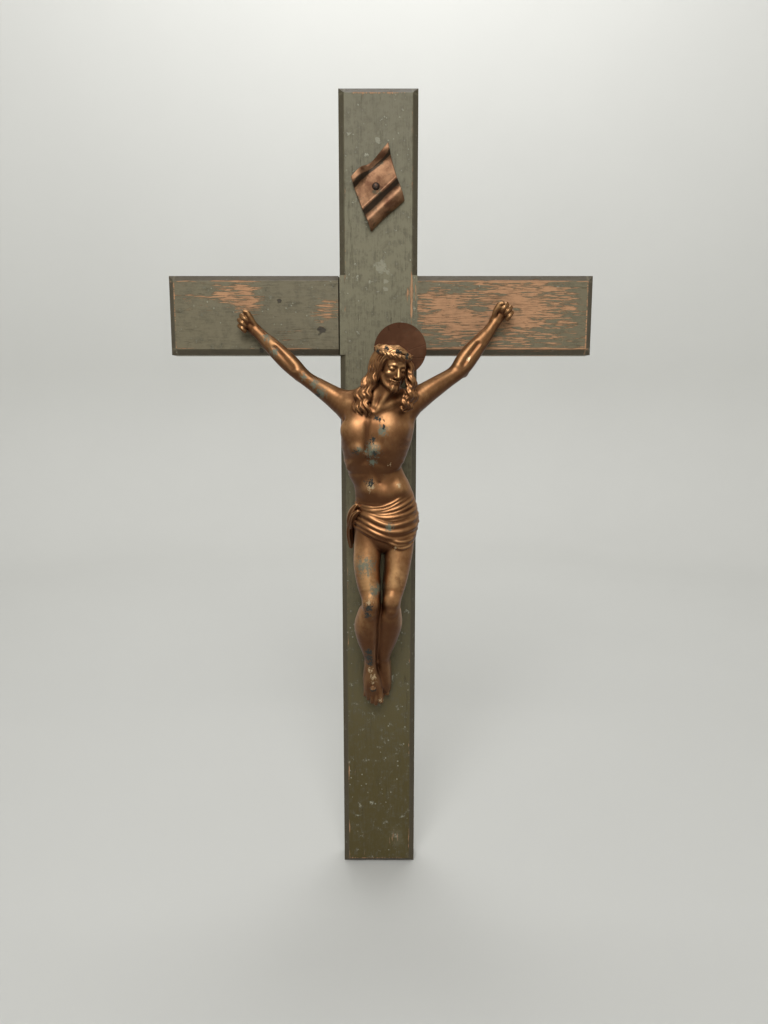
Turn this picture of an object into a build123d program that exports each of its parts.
from build123d import *
import math
import os

os.makedirs("parts", exist_ok=True)

# A wall crucifix. The origin is the mouth of the hanging hole in the upright's back, +Z is up,
# the back lies on the plane Y = 0 and the front looks along -Y. Lengths are in millimetres.

# The two boards of the cross
UPRIGHT_LENGTH = 590.0
UPRIGHT_WIDTH = 56.5
CROSSBAR_LENGTH = 309.0
CROSSBAR_WIDTH = 56.5
CROSSBAR_SHIFT = 1.7
BOARD_THICKNESS = 19.0
BOARD_CHAMFER = 4.2
CROSSING_DROP = 155.5
LAP_GAP = 1.0

# The blind hole that a wall nail or hook enters
HANGER_DROP = 40.0
HANGER_HOLE_RADIUS = 4.0
HANGER_HOLE_DEPTH = 10.0

# The countersunk screws that hold the halved joint from behind
SCREW_SHANK_RADIUS = 1.8
SCREW_HEAD_RADIUS = 3.6
SCREW_LENGTH = 15.0
SCREW_POINT = 3.0
SCREW_SLOT_WIDTH = 0.9
SCREW_SLOT_DEPTH = 0.8
SCREW_SINK = 0.3
SCREW_PLACE_SHARE = 0.26

# The cast figure: its height runs from the crown of the head to the toes
FIGURE_HEIGHT = 268.0
HEAD_HEIGHT = 33.0
HEAD_BOW = 18.0
HEAD_LEAN = 12.0
HEAD_TURN = 22.0
SECTION_SIDE_COUNT = 12
SMALL_SIDE_COUNT = 8
SHOULDER_STATION_COUNT = 3
MASS_SLICE_SHARES = (-0.96, -0.70, -0.25, 0.25, 0.70, 0.96)
TENON_RADIUS = 3.2
TENON_LENGTH = 7.0

# The disc behind the head and its rivet
HALO_RADIUS = 18.2
HALO_THICKNESS = 0.9
HALO_PIN_RADIUS = 1.2
HALO_PIN_HEAD_RADIUS = 2.4
HALO_PIN_HEAD_HEIGHT = 1.0
HALO_PIN_BITE = 6.0

# The curled plaque above the figure
SCROLL_DROP = 66.8
SCROLL_SHIFT = -1.8
SCROLL_THICKNESS = 1.5
SCROLL_WIDTH = 32.5
SCROLL_FLAT = 17.5
SCROLL_LIP_RADIUS = 5.0
SCROLL_VALLEY_RADIUS = 9.0
SCROLL_ROLL_RADIUS = 4.2
SCROLL_LIP_ARC = 100.0
SCROLL_VALLEY_ARC = 55.0
SCROLL_ROLL_ARC = 150.0
SCROLL_RISE = 40.0
SCROLL_SLOPE = 68.0

# Nails, round heads on plain shanks
SCROLL_NAIL_HEAD_RADIUS = 3.0
SCROLL_NAIL_HEAD_HEIGHT = 1.9
HAND_NAIL_HEAD_RADIUS = 2.4
HAND_NAIL_HEAD_HEIGHT = 1.6
FOOT_NAIL_HEAD_RADIUS = 2.4
FOOT_NAIL_HEAD_HEIGHT = 1.6
NAIL_SHANK_RADIUS = 1.1
NAIL_POINT = 3.0
NAIL_BITE_SHARE = 0.7
DOME_SHARES = (0.55, 0.82)

# Fits
FIT_CLEARANCE = 0.1
CUT_OVERRUN = 2.0

# Where the boards meet, measured from the hanging hole
UPRIGHT_CENTRE_Z = HANGER_DROP - UPRIGHT_LENGTH / 2
CROSSING_Z = HANGER_DROP - CROSSING_DROP
LAP_DEPTH = BOARD_THICKNESS / 2
NAIL_BITE = NAIL_BITE_SHARE * BOARD_THICKNESS

# Stations of the figure's forms. Each row is a share of the figure's height: across from the upright's
# centre line, out from the boards' face, up from the crossing, then half the width and half the depth.
TRUNK_SHARES = (
    (0.006, 0.108, -0.214, 0.046, 0.034),
    (0.004, 0.106, -0.243, 0.080, 0.048),
    (0.001, 0.106, -0.276, 0.096, 0.060),
    (-0.003, 0.108, -0.313, 0.092, 0.064),
    (-0.011, 0.104, -0.354, 0.085, 0.062),
    (-0.013, 0.095, -0.388, 0.078, 0.056),
    (-0.006, 0.085, -0.422, 0.070, 0.050),
    (0.006, 0.080, -0.459, 0.073, 0.052),
    (0.016, 0.076, -0.500, 0.080, 0.053),
    (0.019, 0.075, -0.550, 0.080, 0.048),
)
NECK_SHARES = (
    (0.006, 0.110, -0.260, 0.036, 0.034),
    (0.010, 0.122, -0.228, 0.032, 0.031),
    (0.020, 0.135, -0.195, 0.029, 0.030),
    (0.028, 0.146, -0.160, 0.029, 0.030),
)
RIGHT_LEG_SHARES = (
    (-0.026, 0.082, -0.575, 0.038, 0.042),
    (-0.028, 0.090, -0.623, 0.039, 0.043),
    (-0.031, 0.103, -0.672, 0.037, 0.040),
    (-0.026, 0.116, -0.720, 0.033, 0.035),
    (-0.020, 0.125, -0.757, 0.027, 0.031),
    (-0.020, 0.125, -0.780, 0.026, 0.031),
    (-0.026, 0.115, -0.810, 0.032, 0.032),
    (-0.031, 0.101, -0.847, 0.034, 0.033),
    (-0.029, 0.090, -0.884, 0.030, 0.029),
    (-0.026, 0.078, -0.922, 0.023, 0.024),
    (-0.022, 0.069, -0.959, 0.018, 0.020),
    (-0.023, 0.062, -0.987, 0.022, 0.022),
    (-0.021, 0.054, -1.025, 0.027, 0.020),
    (-0.015, 0.043, -1.060, 0.028, 0.015),
    (-0.011, 0.036, -1.080, 0.024, 0.010),
)
LEFT_LEG_SHARES = (
    (0.060, 0.080, -0.575, 0.040, 0.042),
    (0.055, 0.088, -0.623, 0.041, 0.043),
    (0.052, 0.099, -0.672, 0.036, 0.040),
    (0.043, 0.112, -0.720, 0.033, 0.035),
    (0.037, 0.119, -0.757, 0.026, 0.031),
    (0.034, 0.118, -0.784, 0.026, 0.030),
    (0.029, 0.106, -0.813, 0.034, 0.031),
    (0.026, 0.091, -0.847, 0.036, 0.031),
    (0.020, 0.076, -0.888, 0.032, 0.027),
    (0.014, 0.063, -0.925, 0.026, 0.023),
    (0.012, 0.051, -0.959, 0.023, 0.022),
    (0.014, 0.036, -0.993, 0.023, 0.038),
    (0.016, 0.024, -1.030, 0.024, 0.026),
    (0.020, 0.016, -1.065, 0.020, 0.018),
)
RIGHT_ARM_SHARES = (
    (-0.054, 0.104, -0.261, 0.037, 0.037),
    (-0.086, 0.094, -0.241, 0.035, 0.035),
    (-0.119, 0.083, -0.221, 0.028, 0.029),
    (-0.151, 0.075, -0.200, 0.023, 0.024),
    (-0.179, 0.067, -0.181, 0.020, 0.022),
    (-0.218, 0.059, -0.150, 0.024, 0.022),
    (-0.252, 0.051, -0.118, 0.027, 0.022),
    (-0.286, 0.042, -0.084, 0.024, 0.020),
    (-0.307, 0.036, -0.066, 0.021, 0.018),
    (-0.329, 0.030, -0.045, 0.017, 0.015),
    (-0.345, 0.026, -0.030, 0.017, 0.015),
)
LEFT_ARM_SHARES = (
    (0.063, 0.104, -0.251, 0.037, 0.037),
    (0.095, 0.094, -0.230, 0.035, 0.035),
    (0.130, 0.083, -0.209, 0.029, 0.029),
    (0.160, 0.075, -0.189, 0.026, 0.025),
    (0.187, 0.067, -0.170, 0.024, 0.023),
    (0.219, 0.059, -0.142, 0.027, 0.023),
    (0.246, 0.051, -0.105, 0.029, 0.022),
    (0.278, 0.042, -0.069, 0.022, 0.019),
    (0.298, 0.036, -0.043, 0.018, 0.017),
    (0.316, 0.030, -0.019, 0.015, 0.015),
    (0.325, 0.026, -0.004, 0.016, 0.015),
)
RIGHT_HAIR_SHARES = (
    (-0.006, 0.138, -0.108, 0.014, 0.030),
    (-0.022, 0.144, -0.156, 0.017, 0.032),
    (-0.040, 0.146, -0.192, 0.019, 0.028),
    (-0.050, 0.150, -0.227, 0.018, 0.022),
    (-0.052, 0.156, -0.258, 0.010, 0.014),
)
LEFT_HAIR_SHARES = (
    (0.072, 0.134, -0.116, 0.012, 0.028),
    (0.082, 0.140, -0.164, 0.014, 0.028),
    (0.083, 0.146, -0.199, 0.016, 0.024),
    (0.074, 0.150, -0.230, 0.016, 0.020),
    (0.064, 0.156, -0.253, 0.009, 0.012),
)

# Rounded masses of the figure, in the same shares: place, then half the width, depth and height
CHEST_SHARES = (
    (-0.040, 0.144, -0.318, 0.043, 0.031, 0.044),
    (0.034, 0.144, -0.314, 0.043, 0.031, 0.044),
)
KNOT_SHARES = (
    (-0.078, 0.082, -0.548, 0.018, 0.026, 0.034),
    (-0.083, 0.072, -0.606, 0.013, 0.018, 0.044),
)
TOE_SHARES = (
    (0.005, 0.036, -1.082, 0.009, 0.010, 0.014),
    (-0.005, 0.036, -1.086, 0.006, 0.008, 0.012),
    (-0.015, 0.036, -1.082, 0.006, 0.008, 0.012),
    (-0.025, 0.037, -1.074, 0.006, 0.008, 0.012),
    (-0.035, 0.038, -1.064, 0.006, 0.008, 0.012),
    (0.026, 0.018, -1.072, 0.010, 0.010, 0.014),
)
HEAD_SHARES = (0.033, 0.153, -0.148)
HALO_SHARES = (0.057, 0.113, -0.098)
HALO_PIN_SHARES = (0.042, -0.128)

# The loincloth: folds run from the knot on one hip, each given by its height at the knot and at the far hip
CLOTH_CENTRE_SHARES = (0.019, 0.075)
CLOTH_HALF_SHARES = (0.094, 0.063)
CLOTH_EDGE_SHARES = ((-0.512, -0.486), (-0.545, -0.542), (-0.580, -0.598))
FOLD_SHARES = ((-0.514, -0.488), (-0.525, -0.514), (-0.536, -0.542), (-0.552, -0.570), (-0.574, -0.594))
FOLD_TURNS = (176.0, 200.0, 222.0, 244.0, 266.0, 288.0, 310.0, 332.0, 352.0)
FOLD_ROUND_SHARES = (0.011, 0.010, 0.009, 0.008, 0.0075, 0.0075, 0.008, 0.008, 0.005)

# Masses of the head, as shares of its height: place across, forward and up, then the three half-sizes
SKULL_SHARES = (0.0, -0.02, 0.12, 0.36, 0.43, 0.38)
FACE_SHARES = (0.0, 0.16, -0.14, 0.26, 0.26, 0.36)
NOSE_SHARES = (0.0, 0.42, -0.08, 0.05, 0.08, 0.13)
BROW_SHARES = (0.0, 0.32, 0.06, 0.22, 0.10, 0.05)
BEARD_SHARES = (0.0, 0.26, -0.42, 0.19, 0.17, 0.20)

# The crown of thorns: two wires that wind round each other, with both ends let into the back of the head
CROWN_HALF_SHARES = (0.40, 0.455)
CROWN_RAISE_SHARE = 0.25
CROWN_WIRE_SHARE = 0.044
CROWN_WIND_SHARE = 0.052
CROWN_TUCK_SHARE = 0.75
CROWN_START_TURN = -75.0
CROWN_SWEEP_TURN = 330.0
CROWN_STEP_COUNT = 24
CROWN_WIND_COUNT = 5
CROWN_WIRE_COUNT = 2
CROWN_SIDE_COUNT = 6
THORN_STEP_COUNT = 3
THORN_LENGTH_SHARE = 0.16
THORN_TIP_SHARE = 0.12

# Fists: palm, thumb and the gaps between the fingers, in shares of the figure's height
RIGHT_HAND_SHARES = (-0.361, -0.018)
LEFT_HAND_SHARES = (0.334, 0.012)
PALM_DEPTH_SHARE = 0.020
PALM_HALF_SHARES = (0.023, 0.026, 0.033)
RIGHT_THUMB_SHARES = (-0.337, 0.032, -0.006, 0.010, 0.011, 0.026)
LEFT_THUMB_SHARES = (0.311, 0.032, 0.008, 0.010, 0.011, 0.026)
RIGHT_THUMB_LEAN = -40.0
LEFT_THUMB_LEAN = 12.0
FINGER_GAP_SHARES = (-0.012, 0.001, 0.014)
FINGER_GAP_WIDTH_SHARE = 0.0025
FINGER_GAP_DEPTH_SHARE = 0.036
HAND_SEAT_SHARE = 0.040
FOOT_NAIL_SHARES = (-0.017, 0.066, -1.035)


def face_plane(across, height, depth=0):
    """Plane parallel to the boards, looking forward, at a depth in front of their back."""
    return Plane(origin=(across, -depth, height), x_dir=(1, 0, 0), z_dir=(0, -1, 0))


def figure_point(across_share, out_share, up_share):
    """Place on the figure, from shares of its height, measured from the crossing on the boards' face."""
    out = BOARD_THICKNESS + out_share * FIGURE_HEIGHT
    return Vector(across_share * FIGURE_HEIGHT, -out, CROSSING_Z + up_share * FIGURE_HEIGHT)


def station_plane(stations, index):
    """Plane square to a limb's line at one of its stations."""
    places = [figure_point(*station[:3]) for station in stations]
    along = places[min(index + 1, len(places) - 1)] - places[max(index - 1, 0)]
    return Plane(places[index], x_dir=along.cross(Vector(0, 1, 0)), z_dir=along)


def round_section(plane, half_width, half_depth, sides):
    """Elliptical section in short flats, with its corners on the ellipse."""
    turns = [2 * math.pi * number / sides for number in range(sides)]
    with BuildSketch(plane) as section:
        with BuildLine():
            Polyline(*[(half_width * math.cos(turn), half_depth * math.sin(turn)) for turn in turns], close=True)
        make_face()
    return section.sketch


def limb_sections(stations, sides):
    """Rounded sections square to a limb's line, one at each station."""
    sections = []
    for index, station in enumerate(stations):
        half_width, half_depth = (share * FIGURE_HEIGHT for share in station[3:])
        sections.append(round_section(station_plane(stations, index), half_width, half_depth, sides))
    return sections


def rounded_mass(frame, half_sizes, sides):
    """Egg-shaped mass of three half-sizes, set in a frame, in slices along its height."""
    half_width, half_depth, half_height = half_sizes
    slices = []
    for height_share in MASS_SLICE_SHARES:
        round_share = math.sqrt(1 - height_share**2)
        plane = Plane(frame).offset(height_share * half_height)
        slices.append(round_section(plane, half_width * round_share, half_depth * round_share, sides))
    return loft(slices, ruled=True, mode=Mode.PRIVATE)


def figure_mass(shares, sides, lean=0):
    """Ellipsoid of the figure, leaned about the line of sight."""
    half_sizes = tuple(share * FIGURE_HEIGHT for share in shares[3:])
    return rounded_mass(Location(figure_point(*shares[:3])) * Location((0, 0, 0), (0, lean, 0)), half_sizes, sides)


def head_mass(shares):
    """Ellipsoid of the head, in the bowed head's own frame."""
    across, out, up = (share * HEAD_HEIGHT for share in shares[:3])
    half_sizes = tuple(share * HEAD_HEIGHT for share in shares[3:])
    return rounded_mass(HEAD_FRAME * Location((across, -out, up)), half_sizes, SECTION_SIDE_COUNT)


def hip_plane(knot_share, hip_share):
    """Plane round the hips that passes the knot at one height and the far hip at another."""
    across_share, out_share = CLOTH_CENTRE_SHARES
    centre = figure_point(across_share, out_share, (knot_share + hip_share) / 2)
    along = Vector(2 * CLOTH_HALF_SHARES[0], 0, hip_share - knot_share)
    return Plane(centre, x_dir=along, z_dir=along.cross(Vector(0, 1, 0)))


def fold_sections(knot_share, hip_share):
    """Round sections of one fold of the loincloth, from the knot across the front to the far hip."""
    ring = hip_plane(knot_share, hip_share)
    sections = []
    for turn, round_share in zip(FOLD_TURNS, FOLD_ROUND_SHARES):
        angle = math.radians(turn)
        place = ring.from_local_coords((CLOTH_HALVES[0] * math.cos(angle), CLOTH_HALVES[1] * math.sin(angle), 0))
        ahead = (-CLOTH_HALVES[0] * math.sin(angle), CLOTH_HALVES[1] * math.cos(angle), 0)
        along = ring.from_local_coords(ahead) - ring.origin
        radius = round_share * FIGURE_HEIGHT
        sections.append(round_section(Plane(place, x_dir=ring.z_dir, z_dir=along), radius, radius, SMALL_SIDE_COUNT))
    return sections


def crown_point(wire, step):
    """Place on one wire of the crown, a number of steps from its start."""
    turn = math.radians(CROWN_START_TURN + CROWN_SWEEP_TURN * step / CROWN_STEP_COUNT)
    wind = CROWN_WIND_COUNT * turn + 2 * math.pi * wire / CROWN_WIRE_COUNT
    grow = HEAD_HEIGHT * (1 + CROWN_WIND_SHARE * math.cos(wind))
    if step in (0, CROWN_STEP_COUNT):
        grow = HEAD_HEIGHT * CROWN_TUCK_SHARE
    across, forward = CROWN_HALF_SHARES
    height = HEAD_HEIGHT * (CROWN_RAISE_SHARE + CROWN_WIND_SHARE * math.sin(wind))
    place = Location((grow * across * math.cos(turn), -grow * forward * math.sin(turn), height))
    return (HEAD_FRAME * place).position


def crown_sections(wire):
    """Sections of one wire of the crown, each square to the wire."""
    sections = []
    for step in range(CROWN_STEP_COUNT + 1):
        ahead = crown_point(wire, min(step + 1, CROWN_STEP_COUNT))
        along = ahead - crown_point(wire, max(step - 1, 0))
        plane = Plane(crown_point(wire, step), x_dir=along.cross(HEAD_PLANE.z_dir), z_dir=along)
        sections.append(round_section(plane, CROWN_WIRE, CROWN_WIRE, CROWN_SIDE_COUNT))
    return sections


def thorn(wire, step):
    """Short spike that stands out from a wire of the crown."""
    root = crown_point(wire, step)
    out = (root - HEAD_PLANE.origin).normalized()
    foot = Plane(root, x_dir=HEAD_PLANE.z_dir, z_dir=out)
    tip = foot.offset(THORN_LENGTH_SHARE * HEAD_HEIGHT)
    narrow = THORN_TIP_SHARE * CROWN_WIRE
    root_section = round_section(foot, CROWN_WIRE, CROWN_WIRE, CROWN_SIDE_COUNT)
    tip_section = round_section(tip, narrow, narrow, CROWN_SIDE_COUNT)
    return loft([root_section, tip_section], ruled=True, mode=Mode.PRIVATE)


def fastener_profile(seat, outline):
    """Half profile of a round fastener whose head seats at a point and whose shank runs back from it."""
    with BuildSketch(Plane(seat, x_dir=(1, 0, 0), z_dir=(0, 0, 1))) as profile:
        with BuildLine():
            Polyline(*outline, close=True)
        make_face()
    return profile.sketch


def nail_outline(head_radius, head_height, length):
    """Round-headed nail: a domed head in two slopes, a plain shank and a point."""
    return (
        (0, -head_height),
        (DOME_SHARES[0] * head_radius, -DOME_SHARES[1] * head_height),
        (head_radius, 0),
        (NAIL_SHANK_RADIUS, 0),
        (NAIL_SHANK_RADIUS, length - NAIL_POINT),
        (0, length),
    )


def shank_hole(seat, radius, depth):
    """Round hole that runs back from a seat, with the running overrun in front of it."""
    with BuildSketch(Plane(seat - Vector(0, CUT_OVERRUN, 0), x_dir=(1, 0, 0), z_dir=(0, 1, 0))) as mouth:
        Circle(radius)
    return extrude(mouth.sketch, amount=CUT_OVERRUN + depth, mode=Mode.PRIVATE)


def pin_hole(seat, radius, depth):
    """Round hole that runs forward from a seat."""
    with BuildSketch(face_plane(seat.X, seat.Z, -seat.Y - CUT_OVERRUN)) as mouth:
        Circle(radius)
    return extrude(mouth.sketch, amount=CUT_OVERRUN + depth, mode=Mode.PRIVATE)


HEAD_FRAME = (
    Location(figure_point(*HEAD_SHARES))
    * Location((0, 0, 0), (0, HEAD_LEAN, 0))
    * Location((0, 0, 0), (0, 0, HEAD_TURN))
    * Location((0, 0, 0), (HEAD_BOW, 0, 0))
)
HEAD_PLANE = Plane(HEAD_FRAME)
CROWN_WIRE = CROWN_WIRE_SHARE * HEAD_HEIGHT
FACE_OF_BOARDS = face_plane(0, UPRIGHT_CENTRE_Z, BOARD_THICKNESS)
RIGHT_SEAM = station_plane(RIGHT_ARM_SHARES, SHOULDER_STATION_COUNT - 1)
LEFT_SEAM = station_plane(LEFT_ARM_SHARES, SHOULDER_STATION_COUNT - 1)
RIGHT_HAND_SEAT = figure_point(RIGHT_HAND_SHARES[0], HAND_SEAT_SHARE, RIGHT_HAND_SHARES[1])
LEFT_HAND_SEAT = figure_point(LEFT_HAND_SHARES[0], HAND_SEAT_SHARE, LEFT_HAND_SHARES[1])
FOOT_SEAT = figure_point(*FOOT_NAIL_SHARES)
HAND_NAIL_LENGTH = HAND_SEAT_SHARE * FIGURE_HEIGHT + NAIL_BITE
FOOT_NAIL_LENGTH = FOOT_NAIL_SHARES[1] * FIGURE_HEIGHT + NAIL_BITE
CLOTH_HALVES = [share * FIGURE_HEIGHT for share in CLOTH_HALF_SHARES]
HALO_CENTRE = figure_point(*HALO_SHARES)
HALO_PIN_SEAT = figure_point(HALO_PIN_SHARES[0], HALO_SHARES[1], HALO_PIN_SHARES[1])
SCROLL_SEAT = Vector(SCROLL_SHIFT, -BOARD_THICKNESS - SCROLL_THICKNESS, HANGER_DROP - SCROLL_DROP)
SCROLL_NAIL_LENGTH = SCROLL_THICKNESS + NAIL_BITE
SCREW_PLACES = [
    (side * SCREW_PLACE_SHARE * UPRIGHT_WIDTH, CROSSING_Z + side * SCREW_PLACE_SHARE * CROSSBAR_WIDTH)
    for side in (-1, 1)
]
NAIL_HOLE_RADIUS = NAIL_SHANK_RADIUS + FIT_CLEARANCE
SCREW_HOLE_RADIUS = SCREW_SHANK_RADIUS + FIT_CLEARANCE

# Upright: chamfered in front, left square where the crossbar meets it, halved from behind
with BuildPart() as upright:
    with BuildSketch(face_plane(0, UPRIGHT_CENTRE_Z)):
        Rectangle(UPRIGHT_WIDTH, UPRIGHT_LENGTH)
    extrude(amount=BOARD_THICKNESS)
    chamfer(upright.faces().sort_by(Axis.Y)[0].edges(), length=BOARD_CHAMFER)
    with BuildSketch(face_plane(0, CROSSING_Z)):
        Rectangle(UPRIGHT_WIDTH, CROSSBAR_WIDTH)
    extrude(amount=BOARD_THICKNESS)
    with BuildSketch(face_plane(0, CROSSING_Z, -CUT_OVERRUN)):
        Rectangle(UPRIGHT_WIDTH + CUT_OVERRUN, CROSSBAR_WIDTH)
    extrude(amount=CUT_OVERRUN + LAP_DEPTH, mode=Mode.SUBTRACT)
    with BuildSketch(face_plane(0, 0, -CUT_OVERRUN)):
        Circle(HANGER_HOLE_RADIUS)
    extrude(amount=CUT_OVERRUN + HANGER_HOLE_DEPTH, mode=Mode.SUBTRACT)
    add(shank_hole(SCROLL_SEAT, NAIL_SHANK_RADIUS, SCROLL_NAIL_LENGTH), mode=Mode.SUBTRACT)
    add(shank_hole(FOOT_SEAT, NAIL_SHANK_RADIUS, FOOT_NAIL_LENGTH), mode=Mode.SUBTRACT)
    for across, height in SCREW_PLACES:
        with BuildSketch(face_plane(across, height)):
            Circle(SCREW_SHANK_RADIUS)
    extrude(amount=SCREW_SINK + SCREW_LENGTH, mode=Mode.SUBTRACT)
upright.part.label = "upright"
export_step(upright.part, "parts/upright.step")

# Crossbar: halved from the front, with the old shrinkage gap at its left shoulder
with BuildPart() as crossbar:
    with BuildSketch(face_plane(CROSSBAR_SHIFT, CROSSING_Z)):
        Rectangle(CROSSBAR_LENGTH, CROSSBAR_WIDTH)
    extrude(amount=BOARD_THICKNESS)
    chamfer(crossbar.faces().sort_by(Axis.Y)[0].edges(), length=BOARD_CHAMFER)
    with BuildSketch(face_plane(-LAP_GAP / 2, CROSSING_Z, LAP_DEPTH)):
        Rectangle(UPRIGHT_WIDTH + LAP_GAP, CROSSBAR_WIDTH + CUT_OVERRUN)
    extrude(amount=LAP_DEPTH + CUT_OVERRUN, mode=Mode.SUBTRACT)
    for seat in (RIGHT_HAND_SEAT, LEFT_HAND_SEAT):
        add(shank_hole(seat, NAIL_SHANK_RADIUS, HAND_NAIL_LENGTH), mode=Mode.SUBTRACT)
    with Locations(*[Plane((across, 0, height), x_dir=(1, 0, 0), z_dir=(0, 1, 0)) for across, height in SCREW_PLACES]):
        CounterSinkHole(SCREW_HOLE_RADIUS, SCREW_HEAD_RADIUS + FIT_CLEARANCE + SCREW_SINK)
crossbar.part.label = "crossbar"
export_step(crossbar.part, "parts/crossbar.step")

# Lap screws: slotted, sunk just below the back
with BuildPart() as lap_screws:
    for across, height in SCREW_PLACES:
        head_height = SCREW_HEAD_RADIUS - SCREW_SHANK_RADIUS
        outline = (
            (0, 0),
            (SCREW_HEAD_RADIUS, 0),
            (SCREW_SHANK_RADIUS, -head_height),
            (SCREW_SHANK_RADIUS, SCREW_POINT - SCREW_LENGTH),
            (0, -SCREW_LENGTH),
        )
        seat = Vector(across, -SCREW_SINK, height)
        revolve(fastener_profile(seat, outline), axis=Axis(seat, (0, 1, 0)))
        with BuildSketch(face_plane(across, height)):
            Rectangle(2 * SCREW_HEAD_RADIUS + CUT_OVERRUN, SCREW_SLOT_WIDTH)
        extrude(amount=SCREW_SINK + SCREW_SLOT_DEPTH, mode=Mode.SUBTRACT)
lap_screws.part.label = "lap_screws"
export_step(lap_screws.part, "parts/lap_screws.step")

# Body of the figure: one casting of trunk, head, hair, crown, loincloth, legs and feet
with BuildPart() as corpus_body:
    loft([round_section(hip_plane(*edge), *CLOTH_HALVES, SECTION_SIDE_COUNT) for edge in CLOTH_EDGE_SHARES], ruled=True)
    for stations in (TRUNK_SHARES, RIGHT_LEG_SHARES, LEFT_LEG_SHARES):
        loft(limb_sections(stations, SECTION_SIDE_COUNT), ruled=True)
    for stations in (NECK_SHARES, RIGHT_HAIR_SHARES, LEFT_HAIR_SHARES):
        loft(limb_sections(stations, SMALL_SIDE_COUNT), ruled=True)
    for stations in (RIGHT_ARM_SHARES, LEFT_ARM_SHARES):
        loft(limb_sections(stations, SMALL_SIDE_COUNT)[:SHOULDER_STATION_COUNT], ruled=True)
    add([head_mass(shares) for shares in (SKULL_SHARES, FACE_SHARES, NOSE_SHARES, BROW_SHARES, BEARD_SHARES)])
    for wire in range(CROWN_WIRE_COUNT):
        loft(crown_sections(wire), ruled=True)
        add([thorn(wire, step) for step in range(wire + THORN_STEP_COUNT, CROWN_STEP_COUNT, 2 * THORN_STEP_COUNT)])
    add([figure_mass(shares, SECTION_SIDE_COUNT) for shares in CHEST_SHARES])
    add([figure_mass(shares, SMALL_SIDE_COUNT) for shares in KNOT_SHARES + TOE_SHARES])
    for fold in FOLD_SHARES:
        loft(fold_sections(*fold), ruled=True)
    with BuildSketch(FACE_OF_BOARDS):
        Rectangle(CROSSBAR_LENGTH, UPRIGHT_LENGTH)
    extrude(amount=-BOARD_THICKNESS, mode=Mode.SUBTRACT)
    for seam in (RIGHT_SEAM, LEFT_SEAM):
        with BuildSketch(seam):
            Circle(TENON_RADIUS + FIT_CLEARANCE)
    extrude(amount=-TENON_LENGTH - FIT_CLEARANCE, mode=Mode.SUBTRACT)
    with BuildSketch(face_plane(HALO_CENTRE.X, HALO_CENTRE.Z, BOARD_THICKNESS)):
        Circle(HALO_RADIUS + FIT_CLEARANCE)
    extrude(amount=-HALO_CENTRE.Y - BOARD_THICKNESS, mode=Mode.SUBTRACT)
    add(pin_hole(HALO_PIN_SEAT, HALO_PIN_RADIUS + FIT_CLEARANCE, HALO_PIN_BITE), mode=Mode.SUBTRACT)
    add(shank_hole(FOOT_SEAT, FOOT_NAIL_HEAD_RADIUS + FIT_CLEARANCE, 0), mode=Mode.SUBTRACT)
    add(shank_hole(FOOT_SEAT, NAIL_HOLE_RADIUS, FOOT_NAIL_LENGTH), mode=Mode.SUBTRACT)
corpus_body.part.label = "corpus_body"
export_step(corpus_body.part, "parts/corpus_body.step")

# Arms: each cast apart, with a tenon for its shoulder and a fist round its nail
HANDS = (
    ("corpus_right_arm", RIGHT_ARM_SHARES, RIGHT_SEAM, RIGHT_HAND_SEAT, RIGHT_THUMB_SHARES, RIGHT_THUMB_LEAN),
    ("corpus_left_arm", LEFT_ARM_SHARES, LEFT_SEAM, LEFT_HAND_SEAT, LEFT_THUMB_SHARES, LEFT_THUMB_LEAN),
)
for name, stations, seam, seat, thumb, thumb_lean in HANDS:
    with BuildPart() as arm:
        loft(limb_sections(stations, SMALL_SIDE_COUNT)[SHOULDER_STATION_COUNT - 1 :], ruled=True)
        with BuildSketch(seam):
            Circle(TENON_RADIUS)
        extrude(amount=-TENON_LENGTH)
        palm = Location((seat.X, -BOARD_THICKNESS - PALM_DEPTH_SHARE * FIGURE_HEIGHT, seat.Z))
        add(rounded_mass(palm, tuple(share * FIGURE_HEIGHT for share in PALM_HALF_SHARES), SECTION_SIDE_COUNT))
        add(figure_mass(thumb, SMALL_SIDE_COUNT, thumb_lean))
        with BuildSketch(FACE_OF_BOARDS):
            Rectangle(CROSSBAR_LENGTH, UPRIGHT_LENGTH)
        extrude(amount=-BOARD_THICKNESS, mode=Mode.SUBTRACT)
        for gap_share in FINGER_GAP_SHARES:
            gap_depth = BOARD_THICKNESS + FINGER_GAP_DEPTH_SHARE * FIGURE_HEIGHT
            with BuildSketch(face_plane(seat.X, seat.Z + gap_share * FIGURE_HEIGHT, gap_depth)):
                Rectangle(2 * PALM_HALF_SHARES[0] * FIGURE_HEIGHT, FINGER_GAP_WIDTH_SHARE * FIGURE_HEIGHT)
        extrude(amount=PALM_HALF_SHARES[1] * FIGURE_HEIGHT, mode=Mode.SUBTRACT)
        add(shank_hole(seat, HAND_NAIL_HEAD_RADIUS + FIT_CLEARANCE, 0), mode=Mode.SUBTRACT)
        add(shank_hole(seat, NAIL_HOLE_RADIUS, HAND_NAIL_LENGTH), mode=Mode.SUBTRACT)
    arm.part.label = name
    export_step(arm.part, f"parts/{name}.step")

# Halo: a thin flat disc on the back of the head
with BuildPart() as halo:
    with BuildSketch(face_plane(HALO_CENTRE.X, HALO_CENTRE.Z, -HALO_CENTRE.Y - HALO_THICKNESS)):
        Circle(HALO_RADIUS)
    extrude(amount=HALO_THICKNESS)
    add(pin_hole(HALO_PIN_SEAT, HALO_PIN_RADIUS + FIT_CLEARANCE, HALO_PIN_BITE), mode=Mode.SUBTRACT)
halo.part.label = "halo"
export_step(halo.part, "parts/halo.step")

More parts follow.
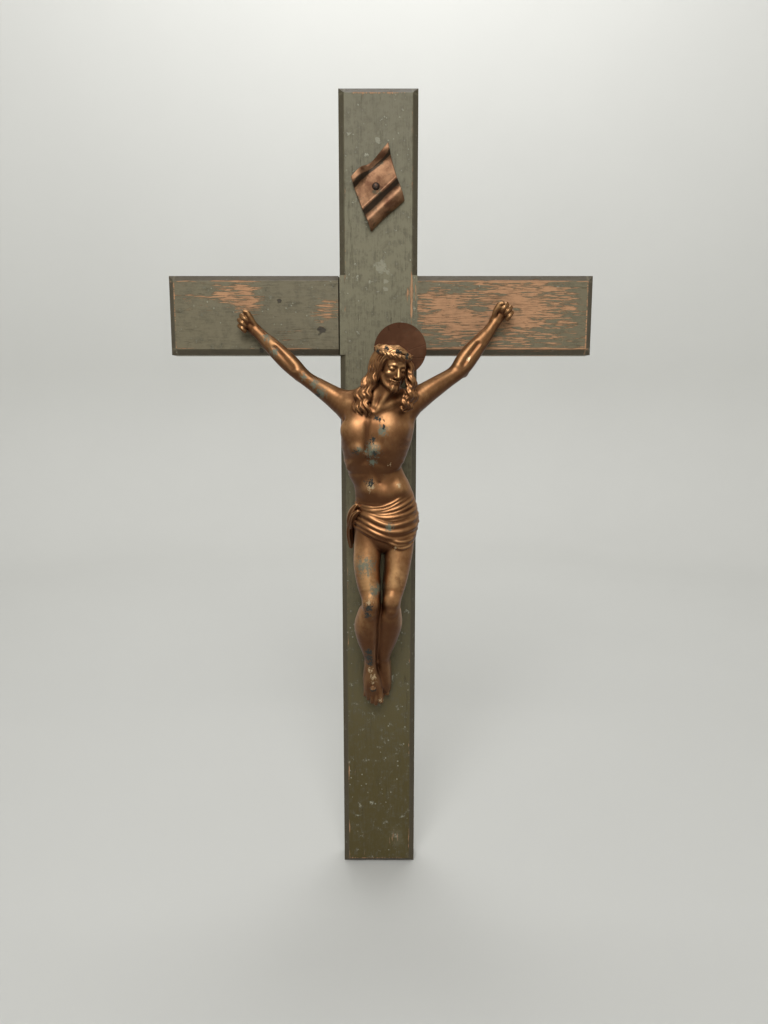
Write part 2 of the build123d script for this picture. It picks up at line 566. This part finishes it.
# Halo pin: a rivet from behind the disc into the head
with BuildPart() as halo_pin:
    back_of_halo = HALO_PIN_SEAT + Vector(0, HALO_THICKNESS, 0)
    outline = (
        (0, HALO_PIN_HEAD_HEIGHT),
        (DOME_SHARES[0] * HALO_PIN_HEAD_RADIUS, DOME_SHARES[1] * HALO_PIN_HEAD_HEIGHT),
        (HALO_PIN_HEAD_RADIUS, 0),
        (HALO_PIN_RADIUS, 0),
        (HALO_PIN_RADIUS, -HALO_THICKNESS - HALO_PIN_BITE),
        (0, -HALO_THICKNESS - HALO_PIN_BITE),
    )
    revolve(fastener_profile(back_of_halo, outline), axis=Axis(back_of_halo, (0, 1, 0)))
halo_pin.part.label = "halo_pin"
export_step(halo_pin.part, "parts/halo_pin.step")

# Scroll: a slanted sheet with a curled lip above and a rolled end below
slope, rise = math.radians(SCROLL_SLOPE), math.radians(SCROLL_RISE)
down_sheet = Vector(math.cos(slope), 0, -math.sin(slope))
along_roll = Vector(math.cos(rise), 0, math.sin(rise))
sheet_start = SCROLL_SEAT - along_roll * (SCROLL_WIDTH / 2) - down_sheet * (SCROLL_FLAT / 2)
with BuildPart() as scroll:
    sheet_plane = Plane(sheet_start, x_dir=down_sheet, z_dir=down_sheet.cross(Vector(0, -1, 0)))
    with BuildSketch(sheet_plane):
        with BuildLine() as sheet:
            flat = Line((0, -SCROLL_THICKNESS / 2), (SCROLL_FLAT, -SCROLL_THICKNESS / 2))
            lip = JernArc(flat @ 0, -(flat % 0), SCROLL_LIP_RADIUS, -SCROLL_LIP_ARC)
            valley = JernArc(flat @ 1, flat % 1, SCROLL_VALLEY_RADIUS, SCROLL_VALLEY_ARC)
            roll = JernArc(valley @ 1, valley % 1, SCROLL_ROLL_RADIUS, -SCROLL_ROLL_ARC)
        trace(line_width=SCROLL_THICKNESS)
    extrude(amount=SCROLL_WIDTH, dir=along_roll)
    add(shank_hole(SCROLL_SEAT, NAIL_HOLE_RADIUS, SCROLL_NAIL_LENGTH), mode=Mode.SUBTRACT)
scroll.part.label = "scroll"
export_step(scroll.part, "parts/scroll.step")

# Nails: through the scroll, both hands and the feet
NAILS = (
    ("scroll_nail", SCROLL_SEAT, SCROLL_NAIL_HEAD_RADIUS, SCROLL_NAIL_HEAD_HEIGHT, SCROLL_NAIL_LENGTH),
    ("right_hand_nail", RIGHT_HAND_SEAT, HAND_NAIL_HEAD_RADIUS, HAND_NAIL_HEAD_HEIGHT, HAND_NAIL_LENGTH),
    ("left_hand_nail", LEFT_HAND_SEAT, HAND_NAIL_HEAD_RADIUS, HAND_NAIL_HEAD_HEIGHT, HAND_NAIL_LENGTH),
    ("foot_nail", FOOT_SEAT, FOOT_NAIL_HEAD_RADIUS, FOOT_NAIL_HEAD_HEIGHT, FOOT_NAIL_LENGTH),
)
for name, seat, head_radius, head_height, length in NAILS:
    with BuildPart() as nail:
        revolve(fastener_profile(seat, nail_outline(head_radius, head_height, length)), axis=Axis(seat, (0, 1, 0)))
    nail.part.label = name
    export_step(nail.part, f"parts/{name}.step")
